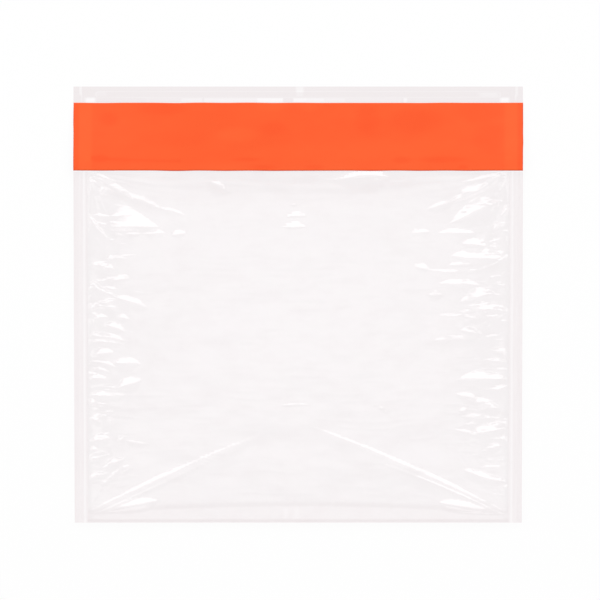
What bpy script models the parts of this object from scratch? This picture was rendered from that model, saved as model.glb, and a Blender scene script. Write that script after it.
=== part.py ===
"""Self-seal film bag, lying on its back with its mouth a little open.

One sheet of clear film is folded at the bottom and welded along both sides. Its back layer runs on
past the mouth as the closing flap, which carries an adhesive strip under a coloured release liner.

Units are metres and +Z is up. X runs across the bag, and +Y points to the flap's free edge. The origin
is on the surface that the bag lies on, under the middle of its bounding box."""

import bpy
import numpy as np

# Outline of the film
bag_height = 0.160  # from the folded edge to the flap's free edge
bag_width = 0.165  # at the flap's free edge
side_run_in = 0.0012  # how much narrower the bag is at the fold
film_thickness = 0.00005
layer_gap = 0.00002  # between the two layers inside the fold, and under the welds before they melt

# Side welds
seal_width = 0.00475
weld_bead = 0.00005  # melted film squeezed out past the cut edges

# Closing flap
hem_depth = 0.006  # clear film left bare beyond the liner
liner_depth = 0.025
liner_thickness = 0.00008
adhesive_depth = 0.020  # the liner overhangs it above and below, as a finger lift
adhesive_thickness = 0.00005
contact_gap = 0.0003  # between pieces that touch in the real bag
mouth_clearance = 0.0005  # from the liner's lower edge to the front layer's free edge

# Form of the pouch as it lies
loft_height = 0.010  # how far the front layer stands off the back one in the middle
mouth_gape = 0.006  # the same at the mouth
fullest_place = 0.55  # share of the way from the fold's crease to the mouth
crease_middle = 0.0060  # flat folded film below the pouch, in the middle
crease_corner = 0.0030  # the same beside the welds
crease_stand = 0.0003  # how far the two layers part below that crease
edge_lift = 0.002  # how far the welded and folded edges rise off the table
flat_share = 0.55  # share of the half width, and of the half height, that lies flat

# Fineness of the grids
seal_columns = 2
pouch_columns = 22
pouch_rows = 34
fold_rows = 4
flap_rows = 6

# Places that follow from the sizes above
fold_radius = (layer_gap + film_thickness) / 2
fold_edge = -bag_height / 2
flap_edge = bag_height / 2
fold_centre = fold_edge + film_thickness / 2 + fold_radius
liner_top = flap_edge - hem_depth
liner_bottom = liner_top - liner_depth
mouth_edge = liner_bottom - mouth_clearance


def ease(share):
    """Smooth step: 0 up to 0, 1 from 1 on, level at both ends."""
    share = np.clip(share, 0.0, 1.0)
    return share * share * (3.0 - 2.0 * share)


def half_width(y):
    """Half the film's width, which tapers evenly from the flap's edge to the fold."""
    share = (flap_edge - y) / bag_height
    return (bag_width - side_run_in * share) / 2


def pouch_half_width(y):
    """Half the width between the side welds."""
    return half_width(y) - seal_width


def rest_height(x, y):
    """Height of the back layer's middle surface. It is flat in the middle and rises to the welds and to
    the fold; along the flap it comes down to the table again. The welds themselves stay level across."""
    across = np.minimum(np.abs(x) / pouch_half_width(y), 1.0)
    sides = ease((across - flat_share) / (1.0 - flat_share))
    sides = sides * ease((flap_edge - y) / (flap_edge - liner_bottom))
    down = y / fold_edge
    bottom = ease((down - flat_share) / (1.0 - flat_share))
    return film_thickness / 2 + edge_lift * (1.0 - (1.0 - sides) * (1.0 - bottom))


def loft(x, y):
    """How far the front layer stands off the back one: a pillow that closes at the welds, starts from a
    crease above the fold that bows up in the middle, and stays open at the mouth."""
    across = np.minimum(np.abs(x) / pouch_half_width(y), 1.0)
    crease = fold_edge + crease_corner + (crease_middle - crease_corner) * (1.0 - across**2)
    along = np.clip((y - crease) / (mouth_edge - crease), 0.0, 1.0)
    climb = np.clip(along / fullest_place, 0.0, 1.0)
    from_fold = 1.0 - (1.0 - climb) ** 1.8
    to_mouth = ease((along - fullest_place) / (1.0 - fullest_place))
    height = loft_height * from_fold - (loft_height - mouth_gape) * to_mouth
    below_crease = np.clip((y - fold_centre) / (crease - fold_centre), 0.0, 1.0)
    to_sides = (1.0 - across**3) ** 0.9
    return (height + crease_stand * below_crease) * to_sides


def column_shares():
    """Places across the film as -1 to 1 between the welds, closer together towards them, with the
    welds' own columns beyond, counted from 1 to 2."""
    even = np.linspace(-1.0, 1.0, pouch_columns + 1)
    pouch = 0.55 * np.sin(even * np.pi / 2) + 0.45 * even
    weld = 1.0 + np.arange(1, seal_columns + 1) / seal_columns
    return np.concatenate([-weld[::-1], pouch, weld])


def place_across(share, y):
    """Turns a column's share into x at height y."""
    inner = np.clip(share, -1.0, 1.0) * pouch_half_width(y)
    return inner + np.sign(share) * np.maximum(np.abs(share) - 1.0, 0.0) * seal_width


def pouch_heights():
    """Heights of the rows between the fold and the mouth, closer together at the fold."""
    share = np.linspace(0.0, 1.0, pouch_rows + 1)
    return fold_centre + (mouth_edge - fold_centre) * (0.35 * share + 0.65 * share**2)


def sheet(name, shares, rows, shape):
    """A flat grid bent into place. shape turns arrays of column shares and row numbers into x, y, z."""
    bpy.ops.mesh.primitive_grid_add(
        x_subdivisions=len(shares) - 1, y_subdivisions=rows - 1, size=2.0
    )
    grid = bpy.context.object
    grid.name = name
    mesh = grid.data
    mesh.name = name
    flat = np.empty(len(mesh.vertices) * 3)
    mesh.vertices.foreach_get("co", flat)
    flat = flat.reshape(-1, 3)
    column = np.rint((flat[:, 0] + 1.0) / 2.0 * (len(shares) - 1)).astype(int)
    row = np.rint((flat[:, 1] + 1.0) / 2.0 * (rows - 1)).astype(int)
    bent = np.stack(shape(shares[column], row), axis=1)
    mesh.vertices.foreach_set("co", bent.ravel())
    mesh.shade_smooth()
    mesh.update()
    return grid


def thicken(grid, thickness):
    """Gives a sheet its thickness, half on each side."""
    shell = grid.modifiers.new("thickness", "SOLIDIFY")
    shell.thickness = thickness
    shell.offset = 0.0
    return shell


def finish(name, colour, roughness, alpha=1.0):
    """A plain Principled material."""
    material = bpy.data.materials.new(name)
    material.use_nodes = True
    shader = material.node_tree.nodes["Principled BSDF"]
    shader.inputs["Base Color"].default_value = (*colour, 1.0)
    shader.inputs["Roughness"].default_value = roughness
    shader.inputs["Metallic"].default_value = 0.0
    shader.inputs["Alpha"].default_value = alpha
    return material


def move_to(collection, piece):
    """Keeps a piece in one collection only."""
    for other in list(piece.users_collection):
        other.objects.unlink(piece)
    collection.objects.link(piece)


def folded_film():
    """The film sheet: from the mouth down the front, round the fold, up the back and along the flap."""
    pouch = pouch_heights()
    turn_in_fold = np.linspace(np.pi, 0.0, fold_rows + 1)[1:-1]
    flap = np.linspace(mouth_edge, flap_edge, flap_rows + 1)[1:]
    heights = np.concatenate([pouch[::-1], np.full(len(turn_in_fold), fold_centre), pouch, flap])
    turns = np.concatenate(
        [np.full(len(pouch), np.pi), turn_in_fold, np.zeros(len(pouch) + len(flap))]
    )

    def shape(share, row):
        y = heights[row]
        turn = turns[row]
        x = place_across(share, y)
        z = rest_height(x, y) + fold_radius * (1.0 - np.cos(turn))
        z = z + np.where(turn == np.pi, loft(x, y), 0.0)
        return x, y - fold_radius * np.sin(turn), z

    return sheet("film_pouch", column_shares(), len(heights), shape)


def side_weld(side):
    """The melted film between the two layers along one side, with its bead past the cut edge."""
    heights = pouch_heights()
    heights[-1] = mouth_edge + weld_bead
    columns = np.linspace(0.0, 1.0, seal_columns + 1)

    def shape(share, row):
        y = heights[row]
        out = pouch_half_width(y) + share * seal_width + weld_bead * (share == 1.0)
        x = side * out
        return x, y, rest_height(x, y) + fold_radius

    weld = sheet("weld_left" if side < 0 else "weld_right", columns, len(heights), shape)
    if side < 0:
        weld.data.flip_normals()
    thicken(weld, 2.0 * fold_radius)
    weld.hide_render = True
    weld.display_type = "WIRE"
    return weld


def flap_strip(name, bottom, top, lowest, thickness):
    """A strip stuck across the flap, from side to side, lying a clearance above the film."""
    heights = np.linspace(bottom, top, flap_rows)

    def shape(share, row):
        y = heights[row]
        x = place_across(share, y)
        return x, y, rest_height(x, y) + film_thickness / 2 + lowest + thickness / 2

    strip = sheet(name, column_shares(), flap_rows, shape)
    thicken(strip, thickness)
    return strip


def build():
    for old in list(bpy.data.objects):
        bpy.data.objects.remove(old, do_unlink=True)
    parts = bpy.data.collections.new("self_seal_bag")
    welds = bpy.data.collections.new("side_welds")
    bpy.context.scene.collection.children.link(parts)
    bpy.context.scene.collection.children.link(welds)

    pouch = folded_film()
    thicken(pouch, film_thickness)
    for side in (-1, 1):
        weld = side_weld(side)
        move_to(welds, weld)
        fuse = pouch.modifiers.new("fuse_" + weld.name, "BOOLEAN")
        fuse.operation = "UNION"
        fuse.solver = "EXACT"
        fuse.object = weld
    pouch.data.materials.append(finish("clear_film", (0.88, 0.86, 0.86), 0.08, alpha=0.3))
    move_to(parts, pouch)

    overhang = (liner_depth - adhesive_depth) / 2
    adhesive = flap_strip(
        "adhesive_strip", liner_bottom + overhang, liner_top - overhang, contact_gap, adhesive_thickness
    )
    adhesive.data.materials.append(finish("clear_adhesive", (0.80, 0.78, 0.72), 0.35))
    move_to(parts, adhesive)

    liner_floor = 2.0 * contact_gap + adhesive_thickness
    liner = flap_strip("release_liner", liner_bottom, liner_top, liner_floor, liner_thickness)
    liner.data.materials.append(finish("orange_liner", (0.982, 0.122, 0.036), 0.4))
    move_to(parts, liner)


build()
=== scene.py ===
import math

import bpy
import numpy as np
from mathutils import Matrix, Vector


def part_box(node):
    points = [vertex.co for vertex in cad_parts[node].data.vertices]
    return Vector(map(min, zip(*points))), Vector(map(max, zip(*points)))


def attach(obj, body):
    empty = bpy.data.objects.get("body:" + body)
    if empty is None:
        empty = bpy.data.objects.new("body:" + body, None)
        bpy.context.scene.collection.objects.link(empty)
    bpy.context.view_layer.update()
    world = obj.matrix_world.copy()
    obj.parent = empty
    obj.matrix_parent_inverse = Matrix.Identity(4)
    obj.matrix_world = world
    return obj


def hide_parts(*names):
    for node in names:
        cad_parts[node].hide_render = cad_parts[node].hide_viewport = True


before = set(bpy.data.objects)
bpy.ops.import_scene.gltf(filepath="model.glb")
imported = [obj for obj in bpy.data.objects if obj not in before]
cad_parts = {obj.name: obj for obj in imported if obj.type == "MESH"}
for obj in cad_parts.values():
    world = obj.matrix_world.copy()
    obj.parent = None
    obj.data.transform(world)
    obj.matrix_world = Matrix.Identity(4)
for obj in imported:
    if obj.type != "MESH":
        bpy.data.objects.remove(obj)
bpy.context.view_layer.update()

mm = 0.001
filmLow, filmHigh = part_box("film_pouch")
linerLow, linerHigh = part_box("release_liner")

bag = {  # the form that the CAD model gives the bag, in metres
    "flapEdge": filmHigh.y,
    "foldEdge": filmLow.y,
    "width": filmHigh.x - filmLow.x,
    "runIn": 0.0012,  # how much narrower it is at the fold
    "film": 0.00005,
    "layerGap": 0.00002,
    "seal": 0.00475,
    "linerTop": linerHigh.y,
    "linerBottom": linerLow.y,
    "mouthEdge": linerLow.y - 0.0005,
    "loftHeight": 0.010,
    "mouthGape": 0.006,
    "fullest": 0.55,  # how far up the pouch it stands highest, as a share
    "creaseMiddle": 0.0060,  # how far above the fold the crease runs, on the centre line
    "creaseCorner": 0.0030,  # and at the welds
    "creaseStand": 0.0003,
    "edgeLift": 0.002,  # of the back layer, at the welds and at the fold
    "flatShare": 0.55,  # of the back layer's half width and half length, that lies flat
}
bag["height"] = bag["flapEdge"] - bag["foldEdge"]
bag["foldRadius"] = (bag["film"] + bag["layerGap"]) / 2
bag["foldCentre"] = bag["foldEdge"] + bag["film"] / 2 + bag["foldRadius"]


def ease(share):  # smooth step: 0 up to 0, 1 from 1 on, level at both ends
    share = np.clip(share, 0.0, 1.0)
    return share * share * (3.0 - 2.0 * share)


def patches(u, v, seed):  # smooth random heights, -1 to 1, eased between the corners of a unit lattice
    corners = np.random.default_rng(seed).uniform(-1.0, 1.0, (64, 64))
    column, row = np.floor(u).astype(int), np.floor(v).astype(int)
    fu, fv = ease(u - column), ease(v - row)
    near = [[corners[(row + b) % 64, (column + a) % 64] for a in (0, 1)] for b in (0, 1)]
    low = near[0][0] * (1 - fu) + near[0][1] * fu
    high = near[1][0] * (1 - fu) + near[1][1] * fu
    return low * (1 - fv) + high * fv


def graded(start, end, count, density):  # places from start to end, closer where the density is high
    fine = np.linspace(start, end, 4001)
    middle = (fine[1:] + fine[:-1]) / 2
    total = np.concatenate([[0.0], np.cumsum(density(middle))])
    return np.interp(np.linspace(0.0, total[-1], count + 1), total, fine)


def halfWidth(y):  # half the film's width, with an even taper from the flap's edge to the fold
    return (bag["width"] - bag["runIn"] * (bag["flapEdge"] - y) / bag["height"]) / 2


def pouchHalf(y):
    return halfWidth(y) - bag["seal"]


def restHeight(x, y):  # the back layer: flat in the middle, easing up to the welds and to the fold
    across = np.minimum(np.abs(x) / pouchHalf(y), 1.0)
    sides = ease((across - bag["flatShare"]) / (1 - bag["flatShare"]))
    sides = sides * ease((bag["flapEdge"] - y) / (bag["flapEdge"] - bag["linerBottom"]))
    bottom = ease((y / bag["foldEdge"] - bag["flatShare"]) / (1 - bag["flatShare"]))
    return bag["film"] / 2 + bag["edgeLift"] * (1 - (1 - sides) * (1 - bottom))


def creasePlace(across):  # y of the crease above the fold, which bows up in the middle
    bow = bag["creaseMiddle"] - bag["creaseCorner"]
    return bag["foldEdge"] + bag["creaseCorner"] + bow * (1 - across**2)


def loft(x, y):  # how far the front layer stands off the back one: a pillow from the crease to the mouth
    across = np.minimum(np.abs(x) / pouchHalf(y), 1.0)
    crease = creasePlace(across)
    along = np.clip((y - crease) / (bag["mouthEdge"] - crease), 0.0, 1.0)
    climb = np.clip(along / bag["fullest"], 0.0, 1.0)
    fromFold = 1 - (1 - climb) ** 1.8
    toMouth = ease((along - bag["fullest"]) / (1 - bag["fullest"]))
    height = bag["loftHeight"] * fromFold - (bag["loftHeight"] - bag["mouthGape"]) * toMouth
    below = np.clip((y - bag["foldCentre"]) / (crease - bag["foldCentre"]), 0.0, 1.0)
    return (height + bag["creaseStand"] * below) * (1 - across**3) ** 0.9


def ridge(x, y, crest, wide, slope, bow=0.0, place=0.5, back=0.0):
    # A fold along a crest line from (x1, y1) to (x2, y2), all in millimetres. Its cross-section is a tent
    # with a rounded top: it falls by slope over the bright width on the +Y side, and runs out more gently
    # on the other. Widths and height swell along the line as a sine whose top lies at place, and the crest
    # bows sideways.
    x1, y1, x2, y2 = crest
    length = math.hypot(x2 - x1, y2 - y1)
    down = back or min(1.9 * wide + 1.2, 0.42 * length)  # the width of the gentle side
    rounding = 0.008
    along = ((x - x1) * (x2 - x1) + (y - y1) * (y2 - y1)) / length**2
    across = ((y - y1) * (x2 - x1) - (x - x1) * (y2 - y1)) / length
    across = across - bow * 4 * along * (1 - along)
    near = (along > 0) & (along < 1) & (across < wide) & (across > -down)
    inside, across = along[near], across[near]
    swell = np.sin(np.pi * inside ** (math.log(0.5) / math.log(place)))
    plump = np.maximum(swell**0.8, 1e-6)
    share = np.abs(across) / (np.where(across > 0, wide, down) * plump)
    tent = np.clip(1.0 - np.sqrt(share**2 + rounding) + rounding**0.5, 0.0, 1.0)
    height = np.zeros_like(x)
    height[near] = slope * wide * plump * np.where(across > 0, tent, tent**2)
    return height


film = {  # the looser shape that the real film takes, in millimetres
    "columns": 226,  # of the grid, across the sheet
    "frontRows": 352,
    "foldRows": 6,
    "backRows": 44,
    "coveredRows": 6,  # along the flap under the liner
    "hemRows": 12,
    "slope": 0.44,  # of a fold's bright flank, against the bare film
    "wedgeSlope": 0.12,  # how much steeper the wedges are
    "widen": 0.4,  # added to each fold's bright width
    "calm": 0.85,  # how much the random folds are lowered where a listed one lies
    "roomFrom": 1.6,  # the pouch's thickness below which puckers and mottling fade
    "gathers": 40,  # random small folds beside each weld
    "gatherEdge": 77.4,  # where they start, from the centre line
    "puckers": 0.85,  # their height
    "finePuckers": 0.30,
    "leftReach": 13.0,  # of the puckers, in from each weld
    "rightReach": 17.0,
    "mottle": (0.46, 0.17, 0.10),  # its coarse and middling patches, and its fine ridges
    "arcs": 0.09,  # the waves that hang below the mouth
    "facetLeft": -64.5,  # the flat bright patch under the top left corner
    "facetRight": -50.5,
    "facetCrest": 28.4,
    "facetTall": 9.6,
    "facetSlope": 0.36,
    "facetDrop": 2.2,
    "lip": 4.4,  # how far the mouth's edge flares up
    "lipReach": 9.0,
    "dip": 0.15,  # the hollow below it
    "creaseStep": 0.3,  # the step up just above the crease
    "edgeStand": 0.28,  # how far the layers part below it
    "fans": [  # fine random folds out of a corner: x, y, first and last angle, how many, seed
        (-76.8, 48.4, -84, -64, 4, 31),
        (-76.8, 48.4, -34, -12, 5, 35),
        (76.8, 48.4, -80, -12, 9, 32),
        (-77.4, -77.0, 32, 62, 5, 33),
        (77.4, -77.0, 32, 62, 5, 34),
    ],
    "leftFolds": [  # x1, y1, x2, y2 of the crest, bright width, bow; some have ridge's place and back too
        (-71.7, 13.2, -67.7, 13.0, 1.2, 0.0),
        (-70.5, 16.6, -67.0, 16.4, 1.6, 0.0),
        (-67.6, 8.7, -61.2, 9.4, 1.8, 0.0),
        (-76.2, 9.0, -68.0, 3.8, 1.0, -1.2),
        (-68.3, 3.2, -55.1, -1.4, 1.6, 0.0),
        (-76.7, -1.0, -73.4, -1.2, 1.1, 0.0),
        (-66.5, -4.6, -61.7, -5.4, 1.3, 0.0),
        (-76.9, -6.5, -74.2, -6.4, 2.0, 0.0),
        (-70.9, -6.6, -64.0, -10.0, 1.4, 0.0),
        (-76.4, -11.3, -63.2, -13.4, 1.3, 0.5),
        (-76.4, -13.6, -64.0, -14.6, 0.8, 0.3),
        (-76.6, -18.8, -67.2, -17.5, 2.1, 0.0),
        (-67.4, -21.2, -57.4, -21.8, 1.8, 0.0),
        (-76.4, -20.7, -66.0, -23.0, 0.9, 0.3),
        (-75.9, -23.2, -69.5, -24.6, 0.8, 0.0),
        (-76.6, -27.0, -70.0, -27.3, 1.4, 0.0),
        (-67.0, -31.0, -57.0, -27.5, 2.2, 0.0),
        (-76.6, -33.0, -62.8, -32.6, 2.1, -0.9),
        (-76.0, -30.6, -62.8, -31.6, 0.8, 0.9),
        (-73.5, -36.3, -64.9, -37.6, 1.1, 0.2),
        (-76.8, -35.0, -73.6, -37.0, 1.1, 0.0),
        (-70.5, -39.4, -66.9, -39.2, 1.2, 0.0),
        (-69.4, -41.2, -67.4, -43.6, 0.9, 0.0),
        (-76.8, -42.0, -71.8, -44.3, 0.9, 0.6),
        (-76.8, -50.3, -68.7, -48.8, 2.3, 0.0),
        (-76.8, -53.2, -73.8, -53.2, 0.9, 0.0),
        (-76.6, -57.0, -69.5, -54.9, 2.6, 0.0),
        (-72.1, -60.2, -63.7, -56.2, 1.6, 0.0),
        (-66.0, -51.4, -63.2, -48.0, 0.9, 0.0),
        (-77.0, -64.0, -70.0, -61.7, 1.0, 0.0),
        (-72.5, -66.4, -69.0, -64.4, 0.7, 0.0),
        (-70.5, -65.0, -66.0, -60.4, 0.7, 0.0),
        (-65.0, -62.0, -61.4, -60.0, 0.7, 0.0),
    ],
    "rightFolds": [
        (71.2, 27.2, 73.6, 30.4, 1.6, 0.0),
        (75.0, 32.0, 77.4, 36.8, 1.8, 0.0),
        (50.8, 25.9, 65.4, 26.3, 1.3, 0.0),
        (40.0, 25.2, 48.3, 26.8, 1.0, 0.0),
        (59.7, 22.4, 68.8, 21.2, 2.6, 0.0),
        (70.2, 21.2, 73.9, 21.0, 1.9, 0.0),
        (56.0, 17.8, 75.4, 17.8, 3.6, -1.3),
        (55.6, 14.3, 63.7, 14.6, 0.9, 0.0),
        (42.9, 14.0, 48.3, 12.4, 1.6, 0.0),
        (47.0, 12.8, 66.0, 13.0, 0.7, -1.1),
        (65.0, 12.6, 77.2, 18.6, 0.7, -1.2),
        (50.5, 7.4, 67.0, 6.9, 1.6, 0.0),
        (47.5, 3.2, 52.5, 3.0, 1.5, 0.0),
        (59.2, 0.8, 71.6, 4.2, 3.2, 0.0),
        (61.0, -0.9, 77.6, -2.6, 2.2, 0.0),
        (58.9, -2.6, 70.0, -2.2, 0.8, 0.0),
        (60.0, -4.2, 77.2, -2.6, 2.0, -1.5),
        (67.8, -6.9, 71.2, -7.6, 1.4, 0.0),
        (59.4, -9.4, 67.5, -11.0, 1.6, 0.0),
        (48.0, -13.2, 66.4, -12.6, 1.2, 0.0),
        (71.0, -16.6, 76.9, -19.0, 1.5, 0.0),
        (70.0, -20.8, 77.0, -20.7, 1.1, 0.0),
        (57.5, -27.6, 77.2, -27.5, 3.0, 0.0),
        (67.5, -30.8, 77.2, -29.6, 1.2, -1.1),
        (57.0, -32.6, 66.0, -34.6, 1.3, 0.0),
        (61.5, -34.7, 72.0, -36.6, 1.3, 0.0),
        (58.9, -38.6, 62.5, -38.8, 1.1, 0.0),
        (64.4, -39.0, 74.0, -37.6, 1.8, 0.0),
        (60.0, -41.0, 72.0, -41.8, 1.3, 0.0),
        (61.5, -43.9, 65.7, -43.6, 1.0, 0.0),
        (70.8, -43.8, 77.0, -43.8, 1.1, 0.0),
        (63.0, -48.0, 75.6, -45.4, 2.8, 0.0),
        (57.0, -45.7, 64.5, -47.7, 0.8, 0.0),
        (70.8, -49.2, 77.0, -49.6, 0.9, 0.0),
        (68.0, -52.8, 74.0, -51.8, 1.2, 0.0),
        (60.3, -60.4, 76.0, -65.0, 1.7, -0.8),
        (75.0, -67.2, 77.4, -67.0, 1.0, 0.0),
    ],
    "topFolds": [  # the fans that run out from the pouch's top corners
        (-76.8, 48.2, -59.0, 37.6, 1.4, 0.0, 0.6),
        (-66.0, 41.2, -48.5, 34.9, 1.3, 0.0),
        (-52.0, 35.8, -39.6, 32.0, 0.8, 0.0),
        (-76.8, 47.6, -66.8, 40.8, 0.8, -1.2),
        (-76.7, 47.2, -73.0, 39.4, 0.8, -0.3),
        (-73.2, 42.2, -69.3, 39.6, 1.2, 0.0),
        (-75.6, 48.3, -66.3, 44.5, 0.8, 0.0),
        (-62.8, 25.6, -57.4, 25.6, 1.3, 0.0),
        (-56.6, 25.6, -47.8, 25.8, 1.4, 0.0),
        (-46.2, 25.0, -40.9, 25.9, 1.3, 0.0),
        (-77.2, 33.7, -70.0, 24.0, 0.8, 0.0),
        (59.0, 44.6, 76.4, 48.6, 0.8, -0.4),
        (52.5, 36.1, 70.6, 43.6, 2.6, 0.0, 0.6, 1.6),
        (46.6, 34.6, 56.5, 37.6, 0.9, 0.0),
        (65.0, 41.6, 76.6, 48.5, 1.0, 0.0),
        (72.6, 41.0, 76.7, 47.4, 0.9, 0.0),
        (69.3, 41.6, 76.5, 47.9, 0.7, 0.0),
        (55.0, 29.4, 73.0, 37.6, 4.4, 0.0, 0.6, 9.0),
        (-33.0, 44.7, -24.6, 40.8, 1.3, 0.0),
        (8.0, 45.2, 33.0, 46.6, 2.2, 0.0, 0.7),
        (-4.8, 32.0, 2.6, 32.0, 1.7, 0.0, 0.5, 0.8),
        (-5.2, 28.1, 2.6, 28.2, 1.9, 0.0, 0.5, 0.8),
        (-2.0, 36.2, -0.4, 36.2, 0.6, 0.0),
        (-7.0, -36.9, 4.0, -36.9, 0.2, 0.3, 0.5, 0.9),
    ],
    "wedges": [  # steeper ones under the long creases from the bottom corners
        (-76.0, -76.8, -51.0, -71.8, 2.2, 0.0, 0.65, 4.0),
        (51.5, -72.6, 76.0, -77.1, 2.0, 0.0, 0.35, 4.0),
    ],
    "bottomFolds": [  # the long creases that run up from the bottom corners
        (-77.6, -76.4, -12.0, -46.7, 1.2, 0.3, 0.5, 12.0),
        (-75.0, -77.0, -27.0, -54.2, 0.35, -0.5, 0.5, 1.5),
        (3.4, -43.8, 77.6, -76.8, 1.2, 0.6, 0.5, 12.0),
        (28.0, -57.0, 76.0, -77.4, 0.35, 0.6, 0.5, 1.5),
        (28.1, -36.6, 32.6, -40.0, 0.3, 0.3, 0.5, 0.8),
    ],
}


def gathers(side):  # small random folds that run in from one weld: crest, width, slope and bow of each
    dice = np.random.default_rng(21 if side < 0 else 22)
    folds = []
    for number in range(film["gathers"]):
        y = dice.uniform(-61, 40)
        start, length = dice.uniform(0, 1) ** 1.6 * 15, dice.uniform(3, 12)
        turn = dice.normal(0, 0.13) - 0.10 * (y + 15) / 55
        x1, x2 = film["gatherEdge"] - start - length, film["gatherEdge"] - start
        crest = (x1, y - turn * length, x2, y)
        if side < 0:
            crest = (-x2, y, -x1, y - turn * length)
        folds.append((crest, dice.uniform(0.3, 1.2), dice.uniform(0.12, 0.42), dice.normal(0, 0.3)))
    return folds


def fan(cornerX, cornerY, first, last, count, seed):  # the same for fine folds that run out from a corner
    dice = np.random.default_rng(seed)
    inwards = -math.copysign(1, cornerX)
    folds = []
    for angle in np.radians(np.linspace(first, last, count) + dice.normal(0, 1.2, count)):
        start, length = dice.uniform(0.5, 5), dice.uniform(9, 26)
        stepX, stepY = inwards * math.cos(angle), math.sin(angle)
        ends = sorted((cornerX + stepX * away, cornerY + stepY * away) for away in (start, start + length))
        wide, slope, bow = dice.uniform(0.35, 0.8), dice.uniform(0.2, 0.4), dice.normal(0, 0.3)
        folds.append(((*ends[0], *ends[1]), wide, slope, bow))
    return folds


def hanging(x):  # 1 in the middle of the mouth, falling off to the welds
    return np.maximum(1 - (x / (78 * mm)) ** 2, 0.04) ** 0.8


def lip(x, y):  # how far the mouth's edge flares up, in millimetres
    fade = np.exp(-(bag["mouthEdge"] - y) / (film["lipReach"] * mm))
    return film["lip"] * (0.35 + 0.65 * hanging(x)) * fade


def bareSlope(x, y):  # how steeply the pouch and its lip face -Y before any fold
    return (loft(x, y + mm) - loft(x, y - mm)) / (2 * mm) + lip(x, y) / film["lipReach"]


def wander(x, y, coarse, fine, seed):  # how far a crest strays from its line: patches of two sizes
    return coarse * patches(x / 5 + 2, y / 4 + 2, seed) + fine * patches(x / 2.1 + 2, y / 1.8 + 2, seed + 2)


def listedFolds(x, y):  # the folds in film's lists, and how far each point is covered by one, from 0 to 1
    height, covered = np.zeros_like(x), np.zeros_like(x)
    strayX, strayY = x + wander(x, y, 0.8, 0.3, 41), y + wander(x, y, 0.22, 0.08, 42)
    for name in ("leftFolds", "rightFolds", "topFolds", "wedges", "bottomFolds"):
        if name == "wedges":  # from here on the crests run true
            strayX, strayY = x, y
        for x1, y1, x2, y2, wide, bow, *shape in film[name]:
            length = math.hypot(x2 - x1, y2 - y1)
            slope = film["slope"] + 0.05 * math.sin(40 * x1 + 70 * y1)  # a little different for each
            slope += bareSlope((x1 + x2) / 2 * mm, (y1 + y2) / 2 * mm)
            slope += film["wedgeSlope"] * (name == "wedges")
            slope *= min(length / max(x2 - x1, 0.1), 1.5)  # a slanting flank faces -Y only in part
            wide = min(wide + film["widen"], 0.5 + 0.24 * length)
            fold = ridge(strayX, strayY, (x1, y1, x2, y2), wide, slope, bow, *shape)
            height += fold
            covered = np.maximum(covered, fold / (slope * wide))
    return height, covered


def randomFolds(x, y):  # the height of all gathers and fans together
    folds = gathers(-1) + gathers(1)
    for corner in film["fans"]:
        folds += fan(*corner)
    height = np.zeros_like(x)
    for crest, wide, slope, bow in folds:
        height += ridge(x, y, crest, wide, slope, bow)
    return height


def puckers(x, y, bend, depth):
    # How far the film sinks beside the welds: patches drawn out along x, whose absolute value leaves sharp
    # ridges between hollows. They fan out from mid height, and fade inwards and to both ends of the welds.
    run = y + bend + 0.22 * depth * np.clip((y + 22) / 55, -1, 1)
    deep = film["puckers"] * np.abs(patches(x / 8.0 + 20, run / 2.9 + 40, 3))
    deep += film["finePuckers"] * np.abs(patches(x / 4.5 + 9, run / 1.5 + 7, 5))
    reach = np.where(x < 0, film["leftReach"], film["rightReach"])
    reach = reach * (1 + 0.35 * patches(0 * x + 3.3, y / 6 + 9, 61))
    return deep * np.exp(-((depth / reach) ** 2)) * ease((y + 77) / 12) * ease((47 - y) / 12)


def mottle(x, y, bend):  # the film's unevenness: patches of two sizes, and the sharp ridges between a third
    coarse, middling, fine = film["mottle"]
    height = coarse * patches(x / 15.0 + 30, y / 8.5 + 30, 15)
    height += middling * patches(x / 8.0 + 30, (y + bend) / 3.5 + 30, 16)
    return height - fine * np.abs(patches(x / 9.0 + 50, (y + bend) / 2.4 + 50, 17))


def facet(x, y):
    # The flat bright patch: a plane that climbs towards -Y to a sharp crest, cut off by a slanting line on
    # its right, eased out on its left, and dropping away below the crest.
    left, right = film["facetLeft"], film["facetRight"]
    tall = film["facetTall"] * np.clip((right - x) / (right - left), 0, 1)
    above = y - film["facetCrest"]
    climb = np.clip(tall - above, 0, None) * (above > 0)
    drop = tall * (1 - ease(-above / film["facetDrop"])) * (above <= 0)
    return film["facetSlope"] * ease((x - left + 7.5) / 10.0) * (climb + drop)


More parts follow.
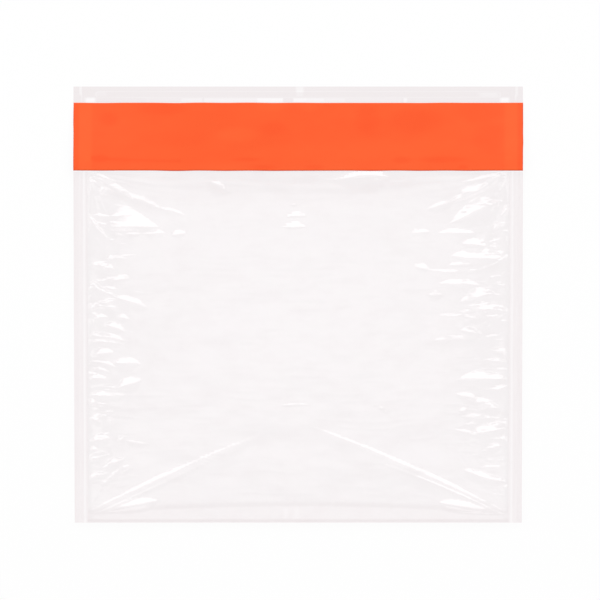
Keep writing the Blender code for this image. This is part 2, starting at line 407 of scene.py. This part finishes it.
def frontRelief(x, y):
    # What the front layer has over the plain pillow, in metres: a sum of the mouth's lip, the folds, puckers
    # and mottling, the waves and the hollow below the mouth, the flat patch, and the step above the crease.
    depth = np.maximum(pouchHalf(y) - np.abs(x), 0.0) / mm  # distance in from the welds
    toMouth = (bag["mouthEdge"] - y) / mm
    toCrease = (y - creasePlace(np.minimum(np.abs(x) / pouchHalf(y), 1))) / mm
    room = np.clip(loft(x, y) / (film["roomFrom"] * mm), 0, 1)
    hang = hanging(x)
    height = lip(x, y)
    x, y = x / mm, y / mm
    bend = 1.5 * patches(x / 14 + 3, y / 14 + 8, 11)
    toFacet = ((x - film["facetLeft"] - 3) / 8) ** 2 + ((y - film["facetCrest"] - 4.5) / 7) ** 2
    smooth = (1 - np.exp(-(toFacet**2))) * room  # 0 on the flat patch and where the pouch is thin
    folds, covered = listedFolds(x, y)
    calm = 1 - film["calm"] * np.sqrt(covered)
    height += folds + randomFolds(x, y) * calm
    height -= puckers(x, y, bend, depth) * smooth * calm
    height += mottle(x, y, bend) * smooth * (1 - 0.55 * np.exp(-(((toMouth - 19) / 9) ** 2)))
    sag = toMouth / hang + 1.6 * patches(x / 26 + 5, y / 9 + 5, 19)
    height += film["arcs"] * hang * np.sin(sag * 1.35) * np.exp(-((sag / 11) ** 2))
    height += facet(x, y) + film["creaseStep"] * ease(toCrease / 2.0)
    height -= film["dip"] * np.exp(-(((toMouth - 11) / 9) ** 2))
    return height * mm


def frontStand(x, y):  # how far the front layer stands off the back one, with its folds
    stand = loft(x, y)
    inward = (pouchHalf(y) - np.abs(x)) / mm
    crease = creasePlace(np.minimum(np.abs(x) / pouchHalf(y), 1))
    flat = ease((crease - y) / mm)  # the strip of folded film below the crease
    edge = film["edgeStand"] * mm * ease((y - bag["foldCentre"]) / (1.3 * mm)) * ease(inward / 3)
    relief = frontRelief(x, y) * ease(inward / 1.5)
    return np.maximum(stand + relief * (1 - flat) + (edge - stand) * flat, 0.3 * stand)


def foldedFilm():
    # One sheet, from the mouth down the front, round the fold, up the back and along the flap. Its parameters
    # are a share across, from -1 to 1 between the welds and on to 2 at the cut edges, and a row down the
    # sheet, with a turn of pi on the front that falls to 0 round the fold.
    half = pouchHalf(0.0) / mm

    def crowding(x):  # columns lie closer beside the welds
        return 1 / (0.45 + 1.6 * ease((half - np.abs(x) - 24) / 16))

    weld = 1 + np.array([0.03, 0.2, 0.4, 0.6, 0.8, 1.0])
    inner = graded(-half, half, film["columns"] - 2 * len(weld), crowding) / half
    share = np.concatenate([-weld[::-1], inner, weld])
    front = np.linspace(bag["mouthEdge"], bag["foldCentre"], film["frontRows"] + 1)
    turning = np.linspace(np.pi, 0, film["foldRows"] + 1)[1:-1]
    back = np.linspace(bag["foldCentre"], bag["mouthEdge"], film["backRows"] + 1)
    hemStart = bag["linerTop"] - mm
    covered = np.linspace(bag["mouthEdge"], hemStart, film["coveredRows"] + 1)[1:]
    hem = np.linspace(hemStart, bag["flapEdge"], film["hemRows"] + 1)[1:]
    behind = np.concatenate([back, covered, hem])
    rowY = np.concatenate([front, np.full(len(turning), bag["foldCentre"]), behind])
    turn = np.concatenate([np.full(len(front), np.pi), turning, np.zeros(len(behind))])
    y = np.repeat(rowY[:, None], len(share), axis=1)
    turn = np.repeat(turn[:, None], len(share), axis=1)
    s = np.repeat(share[None, :], len(rowY), axis=0)
    x = np.clip(s, -1, 1) * pouchHalf(y) + np.sign(s) * np.maximum(np.abs(s) - 1, 0) * bag["seal"]
    onFront = turn == np.pi

    def height(x, y):
        return restHeight(x, y) + np.where(onFront, frontStand(x, y), 0.0)

    z = height(x, y) + bag["foldRadius"] * (1 - np.cos(turn))
    away = 0.06 * mm
    leanX = (height(x + away, y) - height(x - away, y)) / (2 * away)
    leanY = (height(x, y + away) - height(x, y - away)) / (2 * away)
    faces = -np.cos(turn)  # up on the front layer, down on the back one
    normal = np.stack([-leanX * faces, -leanY * faces - np.sin(turn), faces], axis=-1)
    return gridMesh("clear_film_bag", x, y - bag["foldRadius"] * np.sin(turn), z, normal=normal)


def gridMesh(name, x, y, z, tone=None, normal=None):  # quads over the rows and columns of three arrays
    rows, columns = x.shape
    number = np.arange(rows * columns).reshape(rows, columns)
    quads = np.stack([number[:-1, :-1], number[1:, :-1], number[1:, 1:], number[:-1, 1:]], axis=-1)
    mesh = bpy.data.meshes.new(name)
    mesh.from_pydata(np.stack([x, y, z], axis=-1).reshape(-1, 3), [], quads.reshape(-1, 4))
    if tone is not None:
        values = mesh.attributes.new("tone", "FLOAT", "POINT").data
        values.foreach_set("value", tone.ravel().astype(np.float32))
    mesh.shade_smooth()
    if normal is not None:  # the true slopes of the surface, sharper than the mean of the faces round a point
        normal = normal / np.linalg.norm(normal, axis=-1, keepdims=True)
        mesh.normals_split_custom_set_from_vertices(normal.reshape(-1, 3).tolist())
    piece = bpy.data.objects.new(name, mesh)
    bpy.context.scene.collection.objects.link(piece)
    return piece


class Wire:  # wraps a node's socket, so that shader maths reads as an expression
    def __init__(self, tree, socket=None):
        self.tree, self.socket = tree, socket

    def outputs(self, kind, names, settings={}, sockets={}):  # any node: its settings first, then its sockets
        made = self.tree.nodes.new("ShaderNode" + kind)
        for name, value in settings.items():
            setattr(made, name, value)
        for name, value in sockets.items():
            if isinstance(value, Wire):
                self.tree.links.new(value.socket, made.inputs[name])
            else:
                made.inputs[name].default_value = value
        return [Wire(self.tree, made.outputs[name]) for name in names]

    def node(self, kind, settings={}, sockets={}, output=0):  # the same with one output
        return self.outputs(kind, (output,), settings, sockets)[0]

    def maths(self, operation, first, second=0.0, third=0.0):
        return self.node("Math", {"operation": operation}, {0: first, 1: second, 2: third})

    def __add__(self, other):
        return self.maths("ADD", self, other)

    def __sub__(self, other):
        return self.maths("SUBTRACT", self, other)

    def __rsub__(self, other):
        return self.maths("SUBTRACT", other, self)

    def __mul__(self, other):
        return self.maths("MULTIPLY", self, other)

    def __truediv__(self, other):
        return self.maths("DIVIDE", self, other)

    def __pow__(self, other):
        return self.maths("POWER", self, other)

    def __neg__(self):
        return self * -1.0

    def __abs__(self):
        return self.maths("ABSOLUTE", self)

    __radd__, __rmul__ = __add__, __mul__

    def larger(self, other):
        return self.maths("MAXIMUM", self, other)

    def above(self, place, soft):  # 0 below place and 1 above it, eased over a width of soft
        sockets = {"Value": self, "From Min": place - soft / 2, "From Max": place + soft / 2}
        return self.node("MapRange", {"interpolation_type": "SMOOTHSTEP"}, sockets)

    def near(self, place, soft):  # 1 at place, falling off to both sides over soft
        off = (self - place) * (1 / soft)
        return self.maths("EXPONENT", -(off * off))

    def within(self, place, half, soft):  # 1 up to half from place to both sides, and 0 beyond
        return 1 - abs(self - place).above(half, soft)

    def noise(self, u, v, detail):  # a random value of about 0.5, over two others
        place = self.node("CombineXYZ", {}, {0: u, 1: v})
        return self.node("TexNoise", {}, {"Vector": place, "Scale": 1.0, "Detail": detail})

    def mix(self, one, two):  # a colour between two, by this share
        return self.node("Mix", {"data_type": "RGBA"}, {0: self, 6: one, 7: two}, 2)


def newMaterial(name):
    material = bpy.data.materials.new(name)
    material.use_nodes = True
    material.node_tree.nodes.clear()
    return material, Wire(material.node_tree)


def show(wire, shader, kind="Material"):
    wire.outputs("Output" + kind, (), {}, {"Surface": shader})


def placesOf(wire):  # where a point is on the object, in millimetres
    places = wire.node("TexCoord", output=3)
    return wire.node("VectorMath", {"operation": "SCALE"}, {0: places, "Scale": 1 / mm})


filmFinish = {
    "clearTint": (1.0, 0.984, 0.988, 1),  # what one layer lets through
    "denseTint": (0.82, 0.745, 0.755, 1),  # and where its density is 1
    "mirror": (0.98, 0.97, 0.97, 1),
    "headOn": 0.077,  # share mirrored by both faces of the sheet, seen square on
    "roughness": 0.05,
    "sealDensity": 0.165,
    "sealRibGlints": [  # painted highlights along the seal's pressed ribs: distance in from the cut edge, half width, and how much lighter
        (2.2, 0.3, 0.02),
        (3.8, 0.32, 0.12),
    ],
    "weldShade": 0.045,  # painted shade: the dark line along each weld's inner edge, where the film turns up
    "hemDensity": 0.51,
    # painted shade along the crease and at the fold's edge, and a darker strip below the crease
    "creaseShade": 0.11,
    "stripGlints": (-4.6, -0.6),  # x of the two painted light streaks between the crease and the fold
    "stripGlint": 0.05,
    "haze": 0.16,  # blotches in the pouch
    "mouthShade": 0.06,  # a soft painted shade under the mouth
    "hemGlintStreaks": [  # painted highlights along the hem above the liner: from x to x in millimetres, and how much lighter
        (-42.9, -35.2, 0.23),
        (-34.6, -15.0, 0.26),
        (-15.0, -5.6, 0.46),
        (-1.8, 3.0, 0.40),
        (3.0, 9.4, 0.32),
        (9.4, 17.2, 0.19),
        (17.2, 38.0, 0.07),
        (38.6, 40.0, 0.30),
        (-56.0, -42.9, 0.05),
    ],
    "hemGlintSpots": [  # painted highlights as light spots on the hem: x, y, half width, half height, and how much lighter
        (-76.3, 74.9, 1.8, 1.0, 0.52),
        (75.8, 74.9, 1.6, 1.0, 0.50),
        (70.0, 77.0, 3.4, 0.8, 0.17),
        (-72.4, 77.3, 2.0, 0.8, 0.08),
        (0.6, 79.0, 1.4, 1.0, 0.28),
        (0.6, 77.4, 1.2, 1.0, 0.14),
        (-79.9, 78.6, 0.45, 1.6, 0.28),
        (80.2, 78.4, 0.5, 1.8, 0.22),
        (-79.5, 75.8, 0.25, 1.9, 0.12),
        (79.8, 75.9, 0.35, 1.0, 0.14),
    ],
}


def hemDensity(wire, x, y):  # the flap's bare edge: a pressed oblong in outline, with painted highlights as stretched light streaks and light spots
    cloud = wire.noise(x * 0.06, y * 0.5, 2.0)
    middle = y - (bag["linerTop"] / mm + 3.08)
    past = (abs(x) - 73.2).larger(0.0)
    outline = wire.maths("SQRT", past * past + middle * middle) - 1.1
    clear = outline.near(0.0, 0.22) * (0.04 + 0.10 * cloud.above(0.5, 0.4))
    # painted highlights: less tint in a row of streaks just above the liner, and in spots
    streak = y.within(75.0, 0.75, 0.5)
    for first, last, amount in filmFinish["hemGlintStreaks"]:
        clear = clear + streak * x.within((first + last) / 2, (last - first) / 2, 0.9) * amount
    for placeX, placeY, wide, tall, amount in filmFinish["hemGlintSpots"]:
        clear = clear + x.within(placeX, wide, wide) * y.within(placeY, tall, tall) * amount
    return filmFinish["hemDensity"] + 0.05 * (cloud - 0.5) - clear


def pouchDensityAndShade(wire, x, y, inward):
    # A sum of the pressed seals with painted highlights along their ribs, painted shade at the welds' inner
    # edges, faint blotches, a painted shade under the mouth, and painted shade along the crease and the fold
    # with two painted light streaks between them.
    sealWidth = bag["seal"] / mm
    pouch = inward.above(sealWidth, 0.4)
    grain = wire.noise(x * 0.9, y * 0.08, 2.0)
    pressed = filmFinish["sealDensity"] + 0.10 * (grain - 0.5) - 0.022 * inward
    # painted highlights: lighter lines along the seal's pressed ribs
    for place, wide, amount in filmFinish["sealRibGlints"]:
        pressed = pressed - amount * inward.near(place, wide)
    # painted shade: a dark line along each weld's inner edge
    density = (1 - pouch) * pressed + filmFinish["weldShade"] * inward.near(sealWidth + 0.2, 0.45)
    blotches = (wire.noise(x * 0.10, y * 0.17, 4.0) - 0.46).larger(0.0)
    density = density + pouch * filmFinish["haze"] * blotches
    # painted shade: a darker band under the mouth
    paintedShadeUnderMouth = x.within(0.0, 55.0, 50.0) * y.near(bag["mouthEdge"] / mm - 5.5, 6.5)
    density = density + filmFinish["mouthShade"] * paintedShadeUnderMouth
    foldEdge = bag["foldEdge"] / mm
    crease = creasePlace(abs(x) * (mm / pouchHalf(bag["foldEdge"]))) / mm
    # painted shade: dark lines on the crease and at the fold's edge, and a darker strip below the crease
    folded = 0.7 * (y - crease).near(0.5, 1.5) + 0.5 * (1 - y.above(crease - 0.8, 2.5))
    folded = folded + 1.1 * y.near(foldEdge + 0.75, 0.7)
    density = density + pouch * folded * filmFinish["creaseShade"]
    # painted highlights: two light streaks in the strip between the crease and the fold
    strip = (1 - y.above(crease - 0.8, 1.0)) * y.above(foldEdge + 1.6, 0.6)
    for place in filmFinish["stripGlints"]:
        density = density - strip * x.near(place, 0.9) * filmFinish["stripGlint"]
    return density


def filmCrinkle(wire, x, y, inward):  # creases too fine for the mesh, as a height in millimetres
    reach = inward - bag["seal"] / mm
    inside = reach.above(1.0, 2.0) * (1 - y.above(bag["mouthEdge"] / mm - 0.5, 1.0))
    nearSide = wire.maths("EXPONENT", reach * (-1 / 9.0))
    return (0.30 * nearSide + 0.035) * wire.noise(x * 0.16, y * 0.62, 1.0) * inside


def filmMaterial():  # a tinted pane under a mirror, whose share grows as the film is seen more from the side
    material, wire = newMaterial("clear_film")
    x, y = wire.outputs("SeparateXYZ", ("X", "Y"), {}, {0: placesOf(wire)})
    taper = bag["runIn"] / bag["height"] / 2
    inward = (halfWidth(0.0) / mm + taper * y) - abs(x)  # distance in from the cut edge
    hem = y.above(bag["linerTop"] / mm, 0.4)
    density = pouchDensityAndShade(wire, x, y, inward) * (1 - hem) + hemDensity(wire, x, y) * hem
    clear = wire.node("BsdfTransparent", {}, {"Color": filmFinish["clearTint"]})
    dense = wire.node("BsdfTransparent", {}, {"Color": filmFinish["denseTint"]})
    pane = wire.node("MixShader", {}, {0: density, 1: clear, 2: dense})
    crinkle = filmCrinkle(wire, x, y, inward)
    normal = wire.node("Bump", {}, {"Strength": 1.0, "Distance": mm, "Height": crinkle})
    finish = {"Base Color": filmFinish["mirror"], "Metallic": 1.0, "Roughness": filmFinish["roughness"]}
    mirror = wire.node("BsdfPrincipled", {}, {**finish, "Normal": normal})
    facing = wire.node("LayerWeight", {}, {"Blend": 0.5, "Normal": normal}, 1)
    share = filmFinish["headOn"] + (1 - filmFinish["headOn"]) * facing**5
    show(wire, wire.node("MixShader", {}, {0: share, 1: pane, 2: mirror}))
    return material


liner = {
    "columns": 330,
    "rows": 52,
    "thickness": 0.00008,
    "lowest": 0.00065,  # its underside above the film's upper face
    "deep": (0.915, 0.087, 0.0137, 1),
    "pale": (0.935, 0.116, 0.0222, 1),
    "roughness": 0.42,
    "gloss": 0.3,
    "stainsAndShades": [  # x, y, half width, half height in mm, and how much paler or deeper: soft stains, but the seven deeper ones from y 50 to 54 mm are painted shade from the pouch's folds near the mouth, and the last two are pale specks at the lower corners
        (-69.5, 68.0, 3.5, 2.5, -0.7),
        (-50.0, 71.8, 9.0, 2.2, -0.6),
        (-22.0, 62.5, 7.5, 2.6, 0.6),
        (-10.0, 73.0, 6.0, 2.0, 0.5),
        (3.8, 73.0, 4.0, 2.0, 0.5),
        (-9.0, 64.6, 5.0, 2.4, -0.6),
        (25.5, 68.0, 4.5, 5.5, -0.6),
        (43.0, 67.0, 9.0, 4.8, -0.6),
        (66.5, 70.5, 8.5, 3.6, -0.6),
        (69.5, 61.0, 6.0, 5.5, -0.5),
        (30.0, 55.5, 34.0, 5.0, 0.35),
        (-73.0, 53.5, 3.2, 1.3, -1.0),
        (-19.0, 53.2, 5.5, 0.7, -0.9),
        (-13.0, 50.4, 5.0, 0.8, -0.8),
        (6.0, 50.4, 4.0, 0.8, -0.8),
        (38.0, 53.0, 3.5, 1.2, -0.8),
        (52.5, 53.2, 9.0, 1.1, -0.8),
        (60.5, 50.4, 2.0, 0.8, -0.8),
        (-77.0, 53.5, 0.9, 0.7, 3.0),
        (77.1, 53.7, 0.9, 0.5, 2.6),
    ],
}


def linerPiece():
    # A strip with slightly wandering edges and a faint waviness. Its tone is a sum of soft ovals of stain and
    # of painted shade, of two sizes of patches, of paler bands beside the ends with a darker rim that are
    # painted light and shade from the seals, and of a painted shade along an arc that the pouch's mouth
    # presses in.
    share = np.linspace(-1, 1, liner["columns"])
    y = np.repeat(np.linspace(linerLow.y, linerHigh.y, liner["rows"])[:, None], liner["columns"], axis=1)
    x = share[None, :] * halfWidth(y)
    u, v = x / mm, y / mm
    bottom, top = linerLow.y / mm, linerHigh.y / mm
    upper = v > (bottom + top) / 2
    edges = 0.10 * patches(u / 9 + 40, 0 * u + 0.5 + upper, 51) + 0.06 * ~upper
    y = y + edges * mm * np.exp(-np.minimum(v - bottom, top - v) / 1.5)
    x = x + 0.10 * mm * patches(0 * u + 0.5 + (u > 0), v / 3.5 + 40, 52) * (np.abs(share) > 0.999)
    z = restHeight(x, y) + bag["film"] / 2 + liner["lowest"] + liner["thickness"] / 2
    z = z + 0.05 * mm * patches(u / 16 + 40, v / 7 + 40, 53)
    tone = 0.22 * patches(u / 13 + 3, v / 5 + 3, 54) + 0.12 * patches(u / 4 + 3, v / 2.4 + 3, 55)
    for placeX, placeY, wide, tall, amount in liner["stainsAndShades"]:
        oval = ((u - placeX) / wide) ** 2 + ((v - placeY) / tall) ** 2
        tone = tone + amount * np.exp(-(oval**2))
    fromEnd = halfWidth(y) / mm - np.abs(u)
    # painted light and shade from the seals: a paler band beside each end and a darker rim at the end
    tone = tone + 0.7 * ease((fromEnd - 1.8) / 0.8) * (1 - ease((fromEnd - 6.0) / 1.6))
    tone = tone - 0.35 * (1 - ease((fromEnd - 1.4) / 0.8))
    tone = tone + 0.35 * np.exp(-(((v - 50.6) / 1.1) ** 2)) * ease((fromEnd - 6) / 4)
    # painted shade along an arc that the pouch's mouth presses in
    arc = 53.6 - np.sin(np.clip((u + 76) / 33, 0, 1) * np.pi / 2)
    tone = tone - 0.8 * np.exp(-(((v - arc) / 0.45) ** 2)) * (u < -43) * (u > -76)
    piece = gridMesh("orange_liner", x, y, z, tone)
    solid = piece.modifiers.new("thickness", "SOLIDIFY")
    solid.thickness = liner["thickness"]
    solid.offset = 0.0
    return piece


def linerMaterial():
    material, wire = newMaterial("orange_liner")
    tone = wire.node("Attribute", {"attribute_name": "tone"}, {}, 2)
    colour = tone.above(0.0, 2.4).mix(liner["deep"], liner["pale"])
    finish = {"Base Color": colour, "Roughness": liner["roughness"], "Specular IOR Level": liner["gloss"]}
    show(wire, wire.node("BsdfPrincipled", {}, finish))
    return material


def adhesiveMaterial():
    material, wire = newMaterial("clear_adhesive")
    cloud = wire.node("TexNoise", {}, {"Vector": placesOf(wire), "Scale": 0.3, "Detail": 3.0})
    colour = cloud.above(0.5, 0.4).mix((0.80, 0.77, 0.70, 1), (0.86, 0.84, 0.78, 1))
    show(wire, wire.node("BsdfPrincipled", {}, {"Base Color": colour, "Roughness": 0.35, "Alpha": 0.45}))
    return material


def giveMaterial(piece, material):
    if piece.data.materials:
        for number in range(len(piece.data.materials)):
            piece.data.materials[number] = material
    else:
        piece.data.materials.append(material)


filmPiece = foldedFilm()
giveMaterial(filmPiece, filmMaterial())
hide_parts("film_pouch")
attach(filmPiece, "root")
print("film made,", len(filmPiece.data.polygons) * 2, "triangles")

linerSheet = linerPiece()
giveMaterial(linerSheet, linerMaterial())
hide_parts("release_liner")
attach(linerSheet, "root")
print("liner made")
giveMaterial(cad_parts["adhesive_strip"], adhesiveMaterial())

studio = {  # light levels, angles in degrees and lengths in metres
    "white": 0.991,  # what the camera sees of the table and the backdrop
    "tableShade": 0.08,  # what the table itself reflects
    "ring": 0.36,  # the dark ceiling
    "glow": 0.68,  # added straight overhead
    "glowReach": 29.0,
    "backdrop": 0.8,  # the walls, low down
    "bar": 2.1,  # the bright wall beyond the flap
    "barPlace": 33.0,  # where it starts from straight up, in the plane of Y and Z
    "barSpread": 20.0,
    "barEnd": 66.0,
    "barFade": 10.0,
    "fill": 3.85,  # watts of each soft lamp
    "lampSize": 0.9,
    "lampReach": 1.2,
    "lampTilt": 40.0,  # down from straight overhead
    "lampSide": 50.0,  # to the left and to the right of +Y
}


def makeFloor():  # glows evenly to the camera, and from below it isn't there
    bpy.ops.mesh.primitive_plane_add(size=12.0, location=(0, 0, 0))
    floor = bpy.context.object
    floor.name = "studio_floor"
    material, wire = newMaterial("studio_floor")
    diffuse = wire.node("BsdfDiffuse", {}, {"Color": (studio["tableShade"],) * 3 + (1,)})
    camera, mirrored, through = wire.outputs(
        "LightPath", ("Is Camera Ray", "Is Glossy Ray", "Is Transmission Ray")
    )
    strength = camera.larger(mirrored).larger(through) * (studio["white"] - studio["tableShade"])
    glow = wire.node("Emission", {}, {"Color": (1, 1, 1, 1), "Strength": strength})
    lit = wire.node("AddShader", {}, {0: diffuse, 1: glow})
    below = wire.node("NewGeometry", output=6)
    gone = wire.node("BsdfTransparent", {}, {"Color": (1, 1, 1, 1)})
    show(wire, wire.node("MixShader", {}, {0: below, 1: lit, 2: gone}))
    giveMaterial(floor, material)


def makeWorld():
    # The studio's walls and ceiling, as reflections and light see them: a dark ring with a glow overhead that
    # falls off as a bell curve, a bright wall beyond the flap, and a grey backdrop low down all round.
    world = bpy.data.worlds.new("studio")
    bpy.context.scene.world = world
    world.use_nodes = True
    world.node_tree.nodes.clear()
    wire = Wire(world.node_tree)
    ahead, up = wire.outputs("SeparateXYZ", ("Y", "Z"), {}, {0: wire.node("TexCoord", output=0)})
    degrees = 180 / math.pi
    tilt = wire.maths("ARCCOSINE", up) * degrees  # from straight up
    lean = wire.maths("ARCTAN2", ahead, up) * degrees  # the same, towards +Y only
    beyond = lean.above(studio["barEnd"], studio["barFade"])
    wall = lean.above(studio["barPlace"], studio["barSpread"]) * (1 - beyond)
    tone = studio["ring"] + studio["glow"] * tilt.near(0.0, studio["glowReach"]) + studio["bar"] * wall
    tone = tone + tilt.above(86, 16) * (studio["backdrop"] - tone)
    camera, through = wire.outputs("LightPath", ("Is Camera Ray", "Is Transmission Ray"))
    seen = camera.larger(through)
    strength = seen * studio["white"] + (1 - seen) * tone
    show(wire, wire.node("Background", {}, {"Strength": strength}), "World")


def softLamp(name, side):  # lights the bag, and doesn't show in its reflections
    lamp = bpy.data.lights.new(name, "AREA")
    lamp.shape = "SQUARE"
    lamp.size = studio["lampSize"]
    lamp.energy = studio["fill"]
    piece = bpy.data.objects.new(name, lamp)
    bpy.context.scene.collection.objects.link(piece)
    turn, tilt = math.radians(side * studio["lampSide"]), math.radians(studio["lampTilt"])
    level, high = math.sin(tilt) * studio["lampReach"], math.cos(tilt) * studio["lampReach"]
    piece.location = (math.sin(turn) * level, math.cos(turn) * level, high)
    piece.rotation_euler = (-tilt, 0, -turn)
    piece.visible_glossy = False


view = {
    "lens": 200.0,  # millimetres
    "sensor": 36.0,
    "across": 0.22026,  # metres of table that fill the picture's width
    "aim": (0.00066, 0.00164),  # the point straight below the camera
}


def makeCamera():
    camera = bpy.data.cameras.new("camera")
    camera.lens = view["lens"]
    camera.sensor_width = view["sensor"]
    piece = bpy.data.objects.new("camera", camera)
    bpy.context.scene.collection.objects.link(piece)
    distance = view["across"] * view["lens"] / view["sensor"]
    piece.location = (*view["aim"], distance)
    camera.clip_start, camera.clip_end = 0.01, 100.0
    bpy.context.scene.camera = piece


makeFloor()
makeWorld()
softLamp("left_lamp", -1)
softLamp("right_lamp", 1)
makeCamera()
bpy.context.scene.view_settings.view_transform = "Standard"
print("studio made")
